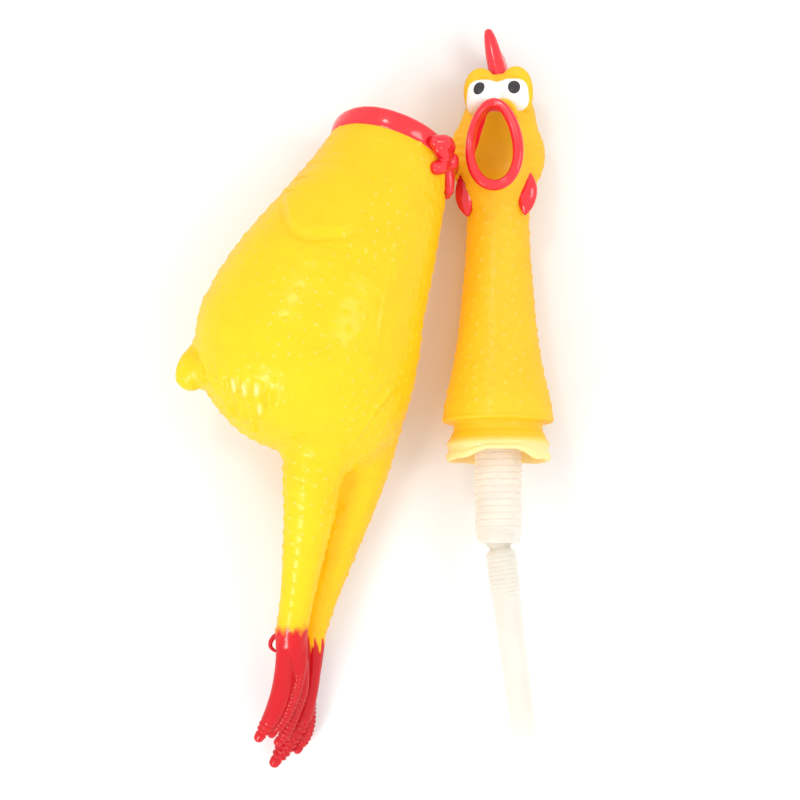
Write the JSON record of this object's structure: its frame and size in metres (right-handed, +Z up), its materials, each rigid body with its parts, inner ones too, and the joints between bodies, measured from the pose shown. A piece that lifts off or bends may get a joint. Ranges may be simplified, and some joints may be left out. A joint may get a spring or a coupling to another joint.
{
  "type": "rubber chicken",
  "caption": "Hollow soft plastic prop chicken with dangling legs, pulled apart: the gaping head and neck unplug from the body, with a reed squawker in the neck.",
  "frame": {"origin": "middle of the whole set's bounding box in X and Y, at its lowest point in Z, which is the surface that the body and the head unit lie on", "axes": "+Y from the feet end towards the head end, along the set's longest side; +Z up from the surface; +X from the body towards the head unit"},
  "size_m": [0.146, 0.2944, 0.0804],
  "materials": {
    "yellow_skin": "glossy soft vinyl",
    "warm_yellow_skin": "glossy soft vinyl",
    "red_paint": "glossy sprayed red on soft vinyl",
    "eye_white": "glossy sprayed white on soft vinyl",
    "pupil_black": "glossy sprayed charcoal on soft vinyl",
    "milky_plastic": "translucent milky polyethylene",
    "reed_plastic": "satin",
    "reed_film": "thin springy film"
  },
  "bodies": {
    "body": {"body_shell": "yellow_skin", "collar_rim": "red_paint", "collar_bow": "red_paint", "right_foot": "red_paint", "left_foot": "red_paint"},
    "head": {"neck_shell": "warm_yellow_skin", "head_shell": "warm_yellow_skin", "comb": "red_paint", "beak_lip": "red_paint", "right_wattle": "red_paint", "left_wattle": "red_paint", "right_eye": "eye_white", "left_eye": "eye_white", "right_pupil": "pupil_black", "left_pupil": "pupil_black"},
    "squawker": {"squawker_barrel": "milky_plastic", "barrel_cap": "milky_plastic"},
    "tail": {"tail_tube": "milky_plastic", "reed_seat": "reed_plastic", "reed_clip": "reed_plastic"},
    "reed": {"reed_tongue": "reed_film"}
  },
  "joints": [
    {"name": "neck_pull", "type": "slide", "parent": "body", "child": "head", "axis": [0, 0.9945, -0.1045], "range_m": [-0.115, 0]},
    {"name": "squawker_turn", "type": "hinge", "parent": "head", "child": "squawker", "pos_m": [0.05127, -0.01138, 0.02253], "axis": [0, 0.9945, -0.1045], "continuous": true},
    {"name": "tail_sway", "type": "hinge", "parent": "squawker", "child": "tail", "pos_m": [0.05127, -0.05355, 0.02696], "axis": [0, 0.1045, 0.9945], "range_deg": [-6, 6]},
    {"name": "reed_flutter", "type": "hinge", "parent": "tail", "child": "reed", "pos_m": [0.05012, -0.04437, 0.02504], "axis": [0.9925, 0.1212, -0.0127], "range_deg": [0, 6], "stiffness_Nm_per_rad": 0.0008}
  ]
}
